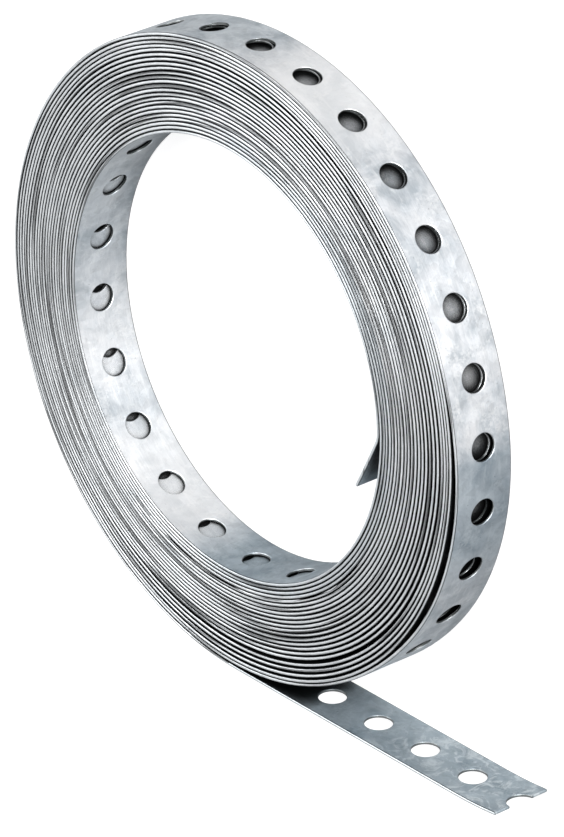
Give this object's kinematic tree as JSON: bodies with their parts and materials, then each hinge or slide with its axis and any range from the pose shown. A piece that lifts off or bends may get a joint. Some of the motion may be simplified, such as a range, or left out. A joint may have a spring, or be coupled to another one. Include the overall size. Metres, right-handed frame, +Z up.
{
  "type": "perforated metal strap",
  "caption": "Flat galvanised steel strap with a row of round holes, wound in a coil that lies on its end, with its outer end drawn off straight.",
  "frame": {"origin": "on the floor, under the middle of the coil with its tail", "axes": "+X along the tail towards its cut end, +Y from the tail across the coil, +Z up along the coil's axis"},
  "size_m": [0.179, 0.1658, 0.017],
  "materials": {
    "galvanised_steel": "galvanised, satin, mottled"
  },
  "bodies": {
    "root": {"perforated_strap": "galvanised_steel"}
  },
  "joints": []
}
